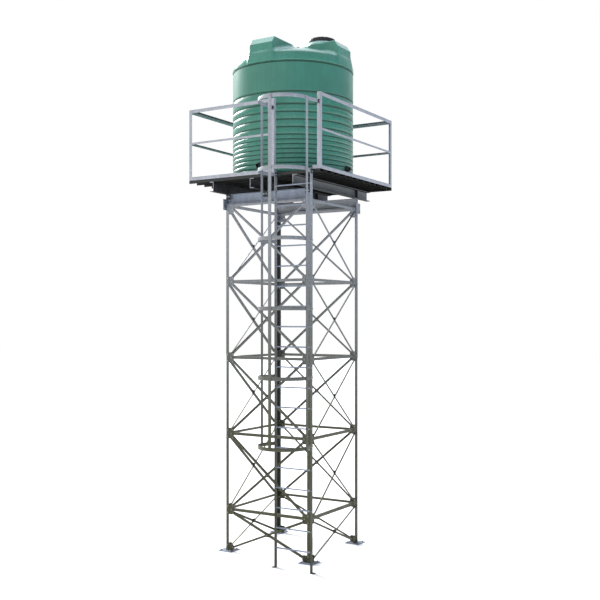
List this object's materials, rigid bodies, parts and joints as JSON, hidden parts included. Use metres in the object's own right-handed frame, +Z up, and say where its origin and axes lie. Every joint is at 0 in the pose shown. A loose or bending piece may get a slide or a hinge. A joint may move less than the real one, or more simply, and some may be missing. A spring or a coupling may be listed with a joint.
{
  "type": "elevated water tank tower",
  "caption": "Ribbed plastic water tank on a square cross-braced steel lattice tower, with a planked platform, handrail and caged access ladder.",
  "frame": {"origin": "on the ground under the centre of the object's box; the tower's own axis is 0.3128 m behind it (+Y)", "axes": "+Z up the tower, -Y out towards the ladder, +X to the right as seen from the ladder side"},
  "size_m": [2.217, 2.8426, 7.5575],
  "materials": {
    "galvanised_steel": "hot-dip galvanised, weathered dull",
    "galvanised_plate": "hot-dip galvanised sheet, matt",
    "green_polyethylene": "roto-moulded, satin",
    "black_polyethylene": "moulded, satin"
  },
  "bodies": {
    "root": {"base_plate_front_left": "galvanised_plate", "base_plate_front_right": "galvanised_plate", "base_plate_rear_left": "galvanised_plate", "base_plate_rear_right": "galvanised_plate", "beam_front": "galvanised_steel", "beam_rear": "galvanised_steel", "bearer_left": "galvanised_steel", "bearer_middle": "galvanised_steel", "bearer_right": "galvanised_steel", "bracing_front": "galvanised_steel", "bracing_left": "galvanised_steel", "bracing_rear": "galvanised_steel", "bracing_right": "galvanised_steel", "cage_hoop_1": "galvanised_steel", "cage_hoop_2": "galvanised_steel", "cage_hoop_3": "galvanised_steel", "cage_hoop_4": "galvanised_steel", "cage_hoop_5": "galvanised_steel", "cage_hoop_top": "galvanised_steel", "cage_strap_front": "galvanised_steel", "cage_strap_left": "galvanised_steel", "cage_strap_right": "galvanised_steel", "deck_bay_1": "galvanised_plate", "deck_bay_2": "galvanised_plate", "deck_bay_3": "galvanised_plate", "deck_bay_4": "galvanised_plate", "edge_angle_front": "galvanised_steel", "edge_angle_gate": "galvanised_steel", "edge_angle_left": "galvanised_steel", "edge_angle_rear": "galvanised_steel", "edge_angle_right": "galvanised_steel", "ladder": "galvanised_steel", "leg_front_left": "galvanised_steel", "leg_front_right": "galvanised_steel", "leg_rear_left": "galvanised_steel", "leg_rear_right": "galvanised_steel", "mid_rail_front": "galvanised_steel", "mid_rail_left": "galvanised_steel", "mid_rail_rear": "galvanised_steel", "mid_rail_right": "galvanised_steel", "post_front_left": "galvanised_steel", "post_front_right": "galvanised_steel", "post_gate": "galvanised_steel", "post_rear_left": "galvanised_steel", "post_rear_right": "galvanised_steel", "tank_floor": "green_polyethylene", "tank_lid": "black_polyethylene", "tank_outlet_front": "black_polyethylene", "tank_outlet_right": "black_polyethylene", "tank_roof": "green_polyethylene", "tank_vent": "black_polyethylene", "tank_wall": "green_polyethylene", "top_rail_front": "galvanised_steel", "top_rail_left": "galvanised_steel", "top_rail_rear": "galvanised_steel", "top_rail_right": "galvanised_steel"}
  },
  "joints": []
}
